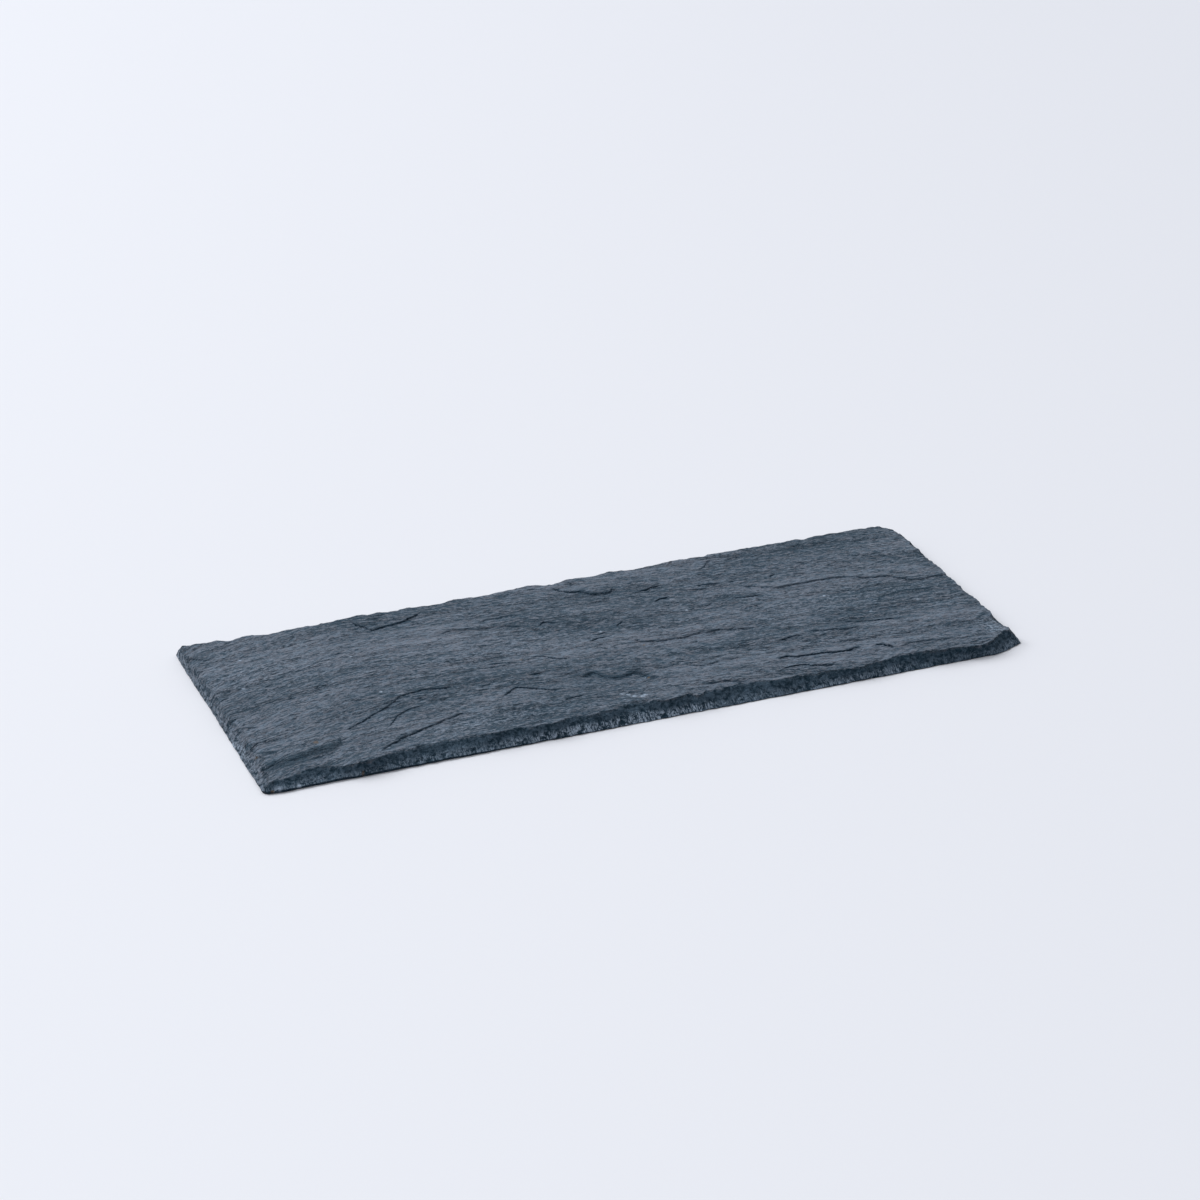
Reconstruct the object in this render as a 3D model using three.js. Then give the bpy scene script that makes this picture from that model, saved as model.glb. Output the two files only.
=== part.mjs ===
// A rectangular slab of riven slate with four hand-dressed edges, split and broken from one piece of rock.
// Millimetres, +Z up. The origin is the middle of the underside, +X runs along the length, -Y is the front.
import * as THREE from "three";

// Driving dimensions
const LENGTH = 300; // from lip to lip
const WIDTH = 115; // from lip to lip
const THICKNESS = 5; // mean height of the riven top face
const UNDERCUT = 0.3; // how far the foot stands in from the lip
const MOST_LIP = 1.1; // height of the lip at the front left, where the edge is undercut most
const LEAST_LIP = 0.4; // height of the lip elsewhere
const UNDERCUT_FROM = 0; // place along X where the front's undercut begins
const UNDERCUT_FULL = -110; // place along X past which it is at its most
const FRONT_FROM = 35; // distance in front of the middle where the front's lip height begins
const FRONT_FULL = 55; // and where it holds
const HOLLOW = 1.5; // how hollow the bevel is: 1 would be straight from lip to arris
const BITES = [{ size: 0.35, length: 7 }, { size: 0.2, length: 3.1 }]; // the tool's bites into the lip
const CORNER_REACH = 6; // length of lip over which the edge turns at a corner

// Size of the facets
const COLUMNS = 74;
const ROWS = 50;
const BEVEL_STEPS = [0.72, 0.36]; // rings between the arris and the lip, as shares of the bevel's width

// How far the lip stands in from the slab's full length and width, as [place along the side, inset], with the
// broken corners. It goes anticlockwise seen from above. Places are X on the front and back, Y on the ends.
const FRONT_INSETS = [[-148.9, 0.8], [-146.5, 0], [-60, 0.2], [40, 0], [137, 0], [141.5, 0.9]];
const RIGHT_INSETS = [[-52.4, 0.6], [-49, 0], [-30, 0], [20, 0.3], [43, 0], [48.5, 0.7]];
const BACK_INSETS = [[146.8, 4.8], [142.5, 1], [137, 0], [20, 0.2], [-139, 0], [-147, 0.2]];
const LEFT_INSETS = [[57, 0.6], [54, 0], [10, 0.3], [-55, 0]];

// Width of the dressed bevel, as [place along the side, width]
const FRONT_BEVEL = [
  [-149, 3], [-140, 4], [-133, 5.8], [-126, 5], [-120, 3.5], [-113, 1.8], [-103, 4.3], [-90, 5.6], [-76, 6],
  [-63, 4.3], [-56, 5.2], [-41, 3], [-32, 5.2], [-23, 4.3], [-9, 7], [0, 5], [6, 4.3], [12, 5.6], [17, 4],
  [21, 5.6], [31, 7.2], [39, 7], [50, 4], [60, 5.6], [71, 4], [83, 2.8], [90, 4.3], [104, 5.6], [110, 3.5],
  [120, 2.8], [128, 1.6], [133, 2], [140, 4.5], [147, 6],
];
const RIGHT_BEVEL = [
  [-53, 5], [-48, 3.6], [-43, 5], [-38, 5.6], [-33, 3.8], [-20, 3.5], [-5, 4.2], [10, 3.6], [25, 4.4],
  [50, 4.6],
];
const BACK_BEVEL = [
  [-149, 3], [-146, 3.8], [-141, 4.6], [-135, 4.2], [-130, 5.1], [-123, 3.8], [-115, 5], [-104, 3.7],
  [-95, 5.6], [-88, 5.4], [-80, 3.9], [-70, 3.9], [-65, 4.6], [-60, 3.7], [-48, 5.5], [-39, 3.8],
  [-27, 5.3], [-18, 4.4], [-10, 4], [0, 5.6], [7, 4], [13, 5], [25, 4], [33, 4.9], [40, 5],
  [50, 3.8], [63, 5], [68, 4.2], [90, 5], [103, 3.6], [107, 4.4], [112, 3.8], [120, 4.9],
  [138, 4.6], [146, 4.8],
];
const LEFT_BEVEL = [
  [-57, 3.5], [-50, 4], [-44, 5], [-38, 6], [-33, 4.5], [-27, 3], [-20, 5], [-14, 4.5], [-8, 2.5], [0, 2],
  [8, 3], [14, 1.8], [20, 3], [27, 1.8], [45, 1.6], [52, 2], [57, 3],
];

// The four sides: their lists, and where a place along the side and an inset lie
const SIDES = [
  { insets: FRONT_INSETS, bevel: FRONT_BEVEL, at: (x, inset) => [x, inset - WIDTH / 2] },
  { insets: RIGHT_INSETS, bevel: RIGHT_BEVEL, at: (y, inset) => [LENGTH / 2 - inset, y] },
  { insets: BACK_INSETS, bevel: BACK_BEVEL, at: (x, inset) => [x, WIDTH / 2 - inset] },
  { insets: LEFT_INSETS, bevel: LEFT_BEVEL, at: (y, inset) => [inset - LENGTH / 2, y] },
];

// Ledges where one leaf of slate ends and the next lies bare. Each path has the lower leaf on its right.
const FINE_RISER = 0.9; // width of a sharp step
const BROAD_RISER = 4; // width of a worn step
const LEDGES = [
  { drop: 1.1, riser: BROAD_RISER, path: [[-148, -43.7], [-139, -45.7], [-124, -41.2], [-116, -40.2]] },
  { drop: 0.6, path: [[-117.5, -42.2], [-114, -35.7]] },
  {
    drop: 0.6,
    path: [
      [-112, -31.7], [-105, -27.2], [-99, -23.5], [-91, -19.3], [-88, -16.2], [-84, -13.9], [-75, -12.2],
      [-70, -13.8], [-64, -13.2],
    ],
  },
  { drop: 0.45, path: [[-97, -34.2], [-92.5, -30.2], [-90, -27.2], [-86, -24.9], [-78, -21.4]] },
  { drop: 0.65, path: [[-105, -51.2], [-100, -46.7], [-95, -43.7], [-90, -41.7], [-82, -39], [-65, -33]] },
  {
    drop: 0.8,
    path: [
      [-83, 51.8], [-81.7, 45.8], [-79, 42.3], [-77, 40], [-73, 41.3], [-66, 42.4], [-61, 44.8], [-57, 46.6],
      [-55, 49.3],
    ],
  },
  { drop: 0.5, path: [[-56, 27.3], [-50, 28.8], [-44, 27.3], [-37, 26.3], [-30, 24.8], [-22, 21.8]] },
  { drop: 0.5, path: [[-39, 30.8], [-34.5, 32.3], [-28, 31.8], [-21, 30.8]] },
  { drop: 0.5, path: [[-51.5, -29], [-47, -26.2], [-43, -23.2], [-39, -25.2], [-33, -28.7], [-28, -30.2]] },
  { drop: 0.5, path: [[-6, 0.1], [-1, 2.3], [4.5, 2.6]] },
  { drop: 0.7, riser: 2, path: [[-9, -29.7], [-4, -30.2], [1, -29], [4, -30.7], [8, -33.7]] },
  { drop: 0.45, path: [[-30, -2.2], [-26, -3.9], [-21.5, -7.5], [-15, -9.8]] },
  { drop: 0.8, path: [[-2, 49.8], [1, 45.3], [4, 42.6], [8, 42.2], [10.5, 38], [17.5, 36.8], [21.5, 41]] },
  { drop: 0.55, path: [[27, 32.4], [32.5, 33.8], [39.5, 36]] },
  { drop: 0.45, path: [[30.5, 23.3], [38, 25.8]] },
  { drop: 0.5, path: [[46, 27.5], [50, 26], [56, 24.6]] },
  { drop: 0.75, path: [[9, -6.4], [21, -8.2], [30, -8.6], [36, -7.4], [45, -7.7], [50, -10.2], [58, -11]] },
  { drop: 0.45, path: [[60, -25.2], [66, -23.8], [72, -23.4]] },
  { drop: 0.5, path: [[73, -21], [80, -23.6], [88, -25.2], [96, -25.8]] },
  { drop: 0.75, path: [[53, -37], [60, -38.6], [70, -39.6], [80, -40.8], [89, -41.2]] },
  { drop: 0.5, path: [[92.5, -40.8], [96, -42], [100, -45.8]] },
  { drop: 0.4, path: [[101, -45.8], [110, -44.8], [120, -46.2], [131, -48.8]] },
  { drop: 0.45, path: [[52, -46], [60, -45], [66, -47.4], [74, -50.4]] },
  { drop: 0.45, path: [[21, -47.1], [30, -47], [38, -50.2]] },
  { drop: 0.5, path: [[70.5, 21.3], [73, 19.4], [78, 18.8]] },
  {
    drop: 0.8,
    path: [
      [79, 15], [88, 16.1], [103, 16.6], [109, 15], [113, 12.6], [119, 10.8], [125, 8.4], [129, 4.4],
      [133, 2.4], [139, 3.2], [146, 1.8],
    ],
  },
  { drop: 0.4, path: [[109, -7.2], [118, -5], [125, -4.9], [131, -7.2]] },
  { drop: 0.6, riser: 2, path: [[138, -38.2], [140.5, -35.2], [145, -32.7]] },
];
const LEDGE_REACH = 9; // how far from its ledge a step levels out again
const LEDGE_END = 5; // length over which a step fades at each end

// Broad waves of the cleavage, as { size, along, across }: height, and wavelengths along and across the grain
const WAVES = [
  { size: 0.42, along: 48, across: 15 },
  { size: 0.34, along: 26, across: 5.5 },
];
const GRAIN_FALL = 0.1; // slope of the grain over most of the slab
const GRAIN_RISE = 0.4; // how much more it slopes the other way at the left end
const GRAIN_TURN = -100; // where along X it turns
const GRAIN_BLEND = 30; // length over which it turns

const SCRAMBLE = [127.1, 311.7, 43758.5453]; // multipliers that turn two whole numbers into a scattered one
const LAYER_OFFSET = [17, 31]; // moves each layer of noise to a patch of its own

const smooth = (t) => t * t * (3 - 2 * t);
const clamp01 = (t) => Math.min(1, Math.max(0, t));
const mix = (a, b, t) => a + (b - a) * t;

// A number from -1 to 1 that is always the same for the same pair of whole numbers.
function scatter(i, j) {
  const s = Math.sin(i * SCRAMBLE[0] + j * SCRAMBLE[1]) * SCRAMBLE[2];
  return 2 * (s - Math.floor(s)) - 1;
}

function noise(x, y) {
  const i = Math.floor(x);
  const j = Math.floor(y);
  const u = smooth(x - i);
  const v = smooth(y - j);
  return mix(mix(scatter(i, j), scatter(i + 1, j), u), mix(scatter(i, j + 1), scatter(i + 1, j + 1), u), v);
}

// Height of a grain line at x, so that y minus this is constant along the grain.
function grainLine(x) {
  const turned = Math.log(2 * Math.cosh((x - GRAIN_TURN) / GRAIN_BLEND));
  return -GRAIN_FALL * x + (GRAIN_RISE / 2) * (x - GRAIN_BLEND * turned);
}

function waves(x, y) {
  const across = y - grainLine(x);
  const [shiftX, shiftY] = LAYER_OFFSET;
  const wave = (w, i) => w.size * noise(x / w.along + shiftX * i, across / w.across + shiftY * i);
  return WAVES.reduce((sum, w, i) => sum + wave(w, i), 0);
}

// Signed distance of a point from a path, positive on its right, and how far along the path it is nearest.
function nearest(path, x, y) {
  let best = { distance: Infinity };
  let walked = 0;
  for (let i = 0; i + 1 < path.length; i++) {
    const [ax, ay] = path[i];
    const [dx, dy] = [path[i + 1][0] - ax, path[i + 1][1] - ay];
    const length = Math.hypot(dx, dy);
    const t = clamp01(((x - ax) * dx + (y - ay) * dy) / length ** 2);
    const distance = Math.hypot(x - ax - t * dx, y - ay - t * dy);
    const side = Math.sign((x - ax) * dy - (y - ay) * dx);
    if (distance < Math.abs(best.distance)) best = { distance: distance * side, along: walked + t * length };
    walked += length;
  }
  return { ...best, length: walked };
}

function ledge({ drop, riser = FINE_RISER, path }, x, y) {
  const { distance, along, length } = nearest(path, x, y);
  const fade = smooth(clamp01(Math.min(along, length - along) / Math.min(LEDGE_END, length / 2)));
  return (-drop / 2) * fade * Math.tanh((2 * distance) / riser) * Math.exp(-Math.abs(distance) / LEDGE_REACH);
}

function topHeight(x, y) {
  return THICKNESS + waves(x, y) + LEDGES.reduce((sum, one) => sum + ledge(one, x, y), 0);
}

// Value at a place in a list of [place, value] that rises along the list.
function lookUp(list, place) {
  const i = list.findIndex(([p]) => p > place);
  if (i === 0) return list[0][1];
  if (i < 0) return list.at(-1)[1];
  const [[p0, v0], [p1, v1]] = [list[i - 1], list[i]];
  return mix(v0, v1, (place - p0) / (p1 - p0));
}

// The lip as one closed line: where each side starts along it, and the point at any distance round it.
const LIP = SIDES.flatMap(({ insets, at }) => insets.map(([place, inset]) => at(place, inset)));
const LIP_WALK = [0];
LIP.forEach(([x, y], i) => {
  const [nextX, nextY] = LIP[(i + 1) % LIP.length];
  LIP_WALK.push(LIP_WALK[i] + Math.hypot(nextX - x, nextY - y));
});
const ROUND = LIP_WALK.at(-1);
const SIDE_STARTS = SIDES.map((_, i) => LIP_WALK[SIDES.slice(0, i).flatMap(({ insets }) => insets).length]);

function lipPoint(distance) {
  const d = ((distance % ROUND) + ROUND) % ROUND;
  const i = Math.min(LIP_WALK.findIndex((w) => w > d) - 1, LIP.length - 1);
  const t = (d - LIP_WALK[i]) / (LIP_WALK[i + 1] - LIP_WALK[i]);
  const next = LIP[(i + 1) % LIP.length];
  return new THREE.Vector2(mix(LIP[i][0], next[0], t), mix(LIP[i][1], next[1], t));
}

function inwardAt(distance) {
  const along = lipPoint(distance + CORNER_REACH).sub(lipPoint(distance - CORNER_REACH)).normalize();
  return new THREE.Vector2(-along.y, along.x);
}

// The lip stands highest along the front's left half, and comes down to its least height by the middle.
function lipHeight(x, y) {
  const front = smooth(clamp01((-y - FRONT_FROM) / (FRONT_FULL - FRONT_FROM)));
  const left = smooth(clamp01((UNDERCUT_FROM - x) / (UNDERCUT_FROM - UNDERCUT_FULL)));
  return mix(LEAST_LIP, MOST_LIP, front * left);
}

// One column of the dressed edge: the arris on the top face, rings of the hollow bevel, the lip, the foot.
function edgeColumn(side, share) {
  const end = SIDE_STARTS[side + 1] ?? ROUND;
  const distance = mix(SIDE_STARTS[side], end, share);
  const inward = inwardAt(distance);
  const bite = BITES.reduce((sum, { size, length }, i) => sum + size * noise(distance / length, i), 0);
  const lip = lipPoint(distance).addScaledVector(inward, Math.abs(bite));
  const width = lookUp(SIDES[side].bevel, side % 2 ? lip.y : lip.x);
  const arris = lip.clone().addScaledVector(inward, width);
  const [low, high] = [lipHeight(lip.x, lip.y), topHeight(arris.x, arris.y)];
  const bevel = BEVEL_STEPS.map((step) => {
    const p = lip.clone().lerp(arris, step);
    return [p.x, p.y, mix(low, high, step ** HOLLOW)];
  });
  const foot = lip.clone().addScaledVector(inward, UNDERCUT);
  return [[arris.x, arris.y, high], ...bevel, [lip.x, lip.y, low], [foot.x, foot.y, 0]];
}

const columns = [COLUMNS, ROWS, COLUMNS, ROWS].flatMap((count, side) =>
  Array.from({ length: count }, (_, i) => edgeColumn(side, i / count)),
);
const AROUND = columns.length;

// The top face is a net of COLUMNS by ROWS, stretched between the four arrises.
function topPoint(i, j) {
  const arris = (k) => columns[k % AROUND][0];
  const [front, right, back, left] = [i, COLUMNS + j, 2 * COLUMNS + ROWS - i, AROUND - j].map(arris);
  const corners = [0, COLUMNS, COLUMNS + ROWS, 2 * COLUMNS + ROWS].map(arris);
  const [u, v] = [i / COLUMNS, j / ROWS];
  const [x, y] = [0, 1].map(
    (k) =>
      mix(front[k], back[k], v) + mix(left[k], right[k], u) -
      mix(mix(corners[0][k], corners[1][k], u), mix(corners[3][k], corners[2][k], u), v),
  );
  return [x, y, topHeight(x, y)];
}

function slabGeometry() {
  const points = [];
  const faces = [];
  const quad = (a, b, c, d) => faces.push(a, b, c, a, c, d);
  const net = (i, j) => j * (COLUMNS + 1) + i;

  for (let j = 0; j <= ROWS; j++) {
    for (let i = 0; i <= COLUMNS; i++) points.push(topPoint(i, j));
  }
  for (let j = 0; j < ROWS; j++) {
    for (let i = 0; i < COLUMNS; i++) quad(net(i, j), net(i + 1, j), net(i + 1, j + 1), net(i, j + 1));
  }

  const arrisRing = [
    ...Array.from({ length: COLUMNS }, (_, i) => net(i, 0)),
    ...Array.from({ length: ROWS }, (_, j) => net(COLUMNS, j)),
    ...Array.from({ length: COLUMNS }, (_, i) => net(COLUMNS - i, ROWS)),
    ...Array.from({ length: ROWS }, (_, j) => net(0, ROWS - j)),
  ];
  let above = arrisRing;
  for (let ring = 1; ring < columns[0].length; ring++) {
    const below = columns.map((column) => points.push(column[ring]) - 1);
    below.forEach((_, k) => {
      const next = (k + 1) % AROUND;
      quad(below[k], below[next], above[next], above[k]);
    });
    above = below;
  }

  const foot = above.map((k) => new THREE.Vector2(points[k][0], points[k][1]));
  const underside = THREE.ShapeUtils.triangulateShape(foot, []);
  for (const [a, b, c] of underside) faces.push(above[a], above[c], above[b]);

  const geometry = new THREE.BufferGeometry();
  geometry.setAttribute("position", new THREE.Float32BufferAttribute(points.flat(), 3));
  geometry.setIndex(faces);
  geometry.computeVertexNormals();
  return geometry;
}

const slate = new THREE.MeshStandardMaterial({ color: 0x5a6878, roughness: 0.62, metalness: 0 });
const slab = new THREE.Mesh(slabGeometry(), slate);
slab.name = "slate_slab";

const group = new THREE.Group();
group.add(slab);
export default group;
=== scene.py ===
"""A slab of riven slate with hand-dressed edges, lying on a pale studio floor.

The slab's lists and heights are in millimetres, in the slab's own frame: +X along the length, -Y the front,
+Z up from the underside. They become metres when the finished points are written to the mesh.
"""

import math

import bmesh
import bpy
import numpy as np
from mathutils import Euler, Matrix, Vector


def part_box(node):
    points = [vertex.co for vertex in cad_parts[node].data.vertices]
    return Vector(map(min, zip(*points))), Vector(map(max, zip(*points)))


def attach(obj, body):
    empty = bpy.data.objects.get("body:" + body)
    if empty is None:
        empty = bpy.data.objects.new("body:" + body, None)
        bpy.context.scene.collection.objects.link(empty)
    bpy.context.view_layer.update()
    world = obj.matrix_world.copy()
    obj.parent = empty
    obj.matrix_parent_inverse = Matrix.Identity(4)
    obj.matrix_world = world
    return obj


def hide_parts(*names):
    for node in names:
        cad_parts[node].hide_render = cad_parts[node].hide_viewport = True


bl_info = {
    "name": "Slate slab",
    "version": (1, 0, 0),
    "blender": (4, 5, 0),
    "location": "3D View > Sidebar > Slate",
    "description": "Builds a riven slate slab with dressed edges and the studio it lies in",
    "category": "Add Mesh",
}

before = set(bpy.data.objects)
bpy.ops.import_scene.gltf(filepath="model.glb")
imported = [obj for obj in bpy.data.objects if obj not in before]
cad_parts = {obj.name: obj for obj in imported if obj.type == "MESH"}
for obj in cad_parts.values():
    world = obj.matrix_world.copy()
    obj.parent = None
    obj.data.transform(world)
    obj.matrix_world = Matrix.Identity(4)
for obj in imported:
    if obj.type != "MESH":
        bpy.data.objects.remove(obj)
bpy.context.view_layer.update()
NODE = "slate_slab"
PER_METRE = 1000
MM = 1 / PER_METRE
SLAB_LOW, SLAB_HIGH = [np.array(corner) * PER_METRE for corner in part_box(NODE)]

# Sizes shared with the solid
LENGTH = 300
WIDTH = 115
THICKNESS = 5
UNDERCUT = 0.3
MOST_LIP = 1.1
LEAST_LIP = 0.4
UNDERCUT_FROM = 0
UNDERCUT_FULL = -110
FRONT_FROM = 35
FRONT_FULL = 55
HOLLOW = 1.5
BITES = [(0.35, 7), (0.2, 3.1)]
CORNER_REACH = 6

# How far the lip stands in from the full length and width, as (place along the side, inset), anticlockwise
FRONT_INSETS = [(-148.9, 0.8), (-146.5, 0), (-60, 0.2), (40, 0), (137, 0), (141.5, 0.9)]
RIGHT_INSETS = [(-52.4, 0.6), (-49, 0), (-30, 0), (20, 0.3), (43, 0), (48.5, 0.7)]
BACK_INSETS = [(146.8, 4.8), (142.5, 1), (137, 0), (20, 0.2), (-139, 0), (-147, 0.2)]
LEFT_INSETS = [(57, 0.6), (54, 0), (10, 0.3), (-55, 0)]

# Width of the dressed bevel, as (place along the side, width), with places that rise along the list
FRONT_BEVEL = [
    (-149, 3), (-140, 4), (-133, 5.8), (-126, 5), (-120, 3.5), (-113, 1.8), (-103, 4.3), (-90, 5.6), (-76, 6),
    (-63, 4.3), (-56, 5.2), (-41, 3), (-32, 5.2), (-23, 4.3), (-9, 7), (0, 5), (6, 4.3), (12, 5.6), (17, 4),
    (21, 5.6), (31, 7.2), (39, 7), (50, 4), (60, 5.6), (71, 4), (83, 2.8), (90, 4.3), (104, 5.6), (110, 3.5),
    (120, 2.8), (128, 1.6), (133, 2), (140, 4.5), (147, 6),
]
RIGHT_BEVEL = [
    (-53, 5), (-48, 3.6), (-43, 5), (-38, 5.6), (-33, 3.8), (-20, 3.5), (-5, 4.2), (10, 3.6), (25, 4.4),
    (50, 4.6),
]
BACK_BEVEL = [
    (-149, 3), (-146, 3.8), (-141, 4.6), (-135, 4.2), (-130, 5.1), (-123, 3.8), (-115, 5), (-104, 3.7),
    (-95, 5.6), (-88, 5.4), (-80, 3.9), (-70, 3.9), (-65, 4.6), (-60, 3.7), (-48, 5.5), (-39, 3.8),
    (-27, 5.3), (-18, 4.4), (-10, 4), (0, 5.6), (7, 4), (13, 5), (25, 4), (33, 4.9), (40, 5), (50, 3.8),
    (63, 5), (68, 4.2), (90, 5), (103, 3.6), (107, 4.4), (112, 3.8), (120, 4.9), (138, 4.6), (146, 4.8),
]
LEFT_BEVEL = [
    (-57, 3.5), (-50, 4), (-44, 5), (-38, 6), (-33, 4.5), (-27, 3), (-20, 5), (-14, 4.5), (-8, 2.5), (0, 2),
    (8, 3), (14, 1.8), (20, 3), (27, 1.8), (45, 1.6), (52, 2), (57, 3),
]

# Ledges, as (drop, width of the riser, darkness of the painted shade at its foot and on its face, path): the
# lower leaf is on the path's right
SHARP = 0.35
SOFT = 1.6
WORN = 4
LEDGES = [
    (1.6, WORN, 1.8, [(-148, -43.7), (-139, -45.7), (-124, -41.2), (-116, -40.2)]),
    (1, SOFT, 1.5, [(-118.5, -42), (-116, -39.5), (-114.5, -35.7)]),
    (0.6, SHARP, 0.6, [
        (-112, -31.7), (-105, -27.2), (-99, -23.5), (-91, -19.3), (-88, -16.2), (-84, -13.9), (-75, -12.2),
        (-70, -13.8), (-64, -13.2),
    ]),
    (0.45, SHARP, 0.6, [(-97, -34.2), (-92.5, -30.2), (-90, -27.2), (-86, -24.9), (-78, -21.4)]),
    (0.65, SHARP, 0.6, [(-105, -51.2), (-100, -46.7), (-95, -43.7), (-90, -41.7), (-82, -39), (-65, -33)]),
    (0.8, SHARP, 0.6, [
        (-83, 51.8), (-81.7, 45.8), (-79, 42.3), (-77, 40), (-73, 41.3), (-66, 42.4), (-61, 44.8),
        (-57, 46.6), (-55, 49.3),
    ]),
    (0.5, SHARP, 0.4, [(-56, 27.3), (-50, 28.8), (-44, 27.3), (-37, 26.3), (-30, 24.8), (-22, 21.8)]),
    (0.5, SHARP, 0.5, [(-39, 30.8), (-34.5, 32.3), (-28, 31.8), (-21, 30.8)]),
    (0.5, SHARP, 0.7, [(-51.5, -29), (-47, -26.2), (-43, -23.2), (-39, -25.2), (-33, -28.7), (-28, -30.2)]),
    (0.5, SHARP, 1, [(-6, 0.1), (-1, 2.3), (4.5, 2.6)]),
    (1.1, SOFT, 2, [
        (-18.8, -24.8), (-15.5, -23.2), (-13, -22.5), (-11.8, -24.5), (-10.1, -27.4), (-7, -28.4),
        (-4, -29.6), (-0.6, -28.6), (2.3, -27.9), (3.9, -30.1), (5.5, -33.4), (10, -34.7),
    ]),
    (0.45, SHARP, 0.6, [(-30, -2.2), (-26, -3.9), (-21.5, -7.5), (-15, -9.8)]),
    (0.8, SHARP, 0.65, [(-2, 49.8), (1, 45.3), (4, 42.6), (8, 42.2), (10.5, 38), (17.5, 36.8), (21.5, 41)]),
    (0.55, SHARP, 0.7, [(27, 32.4), (32.5, 33.8), (39.5, 36)]),
    (0.45, SHARP, 1, [(30.5, 23.3), (38, 25.8)]),
    (0.5, SHARP, 0.5, [(46, 27.5), (50, 26), (56, 24.6)]),
    (0.75, SHARP, 0.45, [(9, -6.4), (21, -8.2), (30, -8.6), (36, -7.4), (45, -7.7), (50, -10.2), (58, -11)]),
    (0.45, SHARP, 0.8, [(60, -25.2), (66, -23.8), (72, -23.4)]),
    (0.5, SHARP, 0.6, [(73, -21), (80, -23.6), (88, -25.2), (96, -25.8)]),
    (0.75, SHARP, 0.8, [(53, -37), (60, -38.6), (70, -39.6), (80, -40.8), (89, -41.2)]),
    (0.5, SHARP, 0.9, [(92.5, -40.8), (96, -42), (100, -45.8)]),
    (0.4, SHARP, 0.4, [(101, -45.8), (110, -44.8), (120, -46.2), (131, -48.8)]),
    (0.45, SHARP, 0.9, [(52, -46), (60, -45), (66, -47.4), (74, -50.4)]),
    (0.45, SHARP, 0.6, [(21, -47.1), (30, -47), (38, -50.2)]),
    (0.8, SHARP, 0.4, [
        (66, 23), (70.5, 21.3), (74, 18.6), (79, 16.2), (88, 16.1), (103, 16.6), (109, 15), (113, 12.6),
        (119, 10.8), (125, 8.4), (129, 4.4), (133, 2.4), (139, 3.2), (146, 1.8),
    ]),
    (0.4, SOFT, 1, [(107, -8.4), (113, -6.2), (118, -5), (125, -4.9), (131, -5.6), (137, -6)]),
    (0.9, SOFT, 0.8, [(138, -38.2), (140.5, -35.2), (145, -32.7)]),
]
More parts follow.
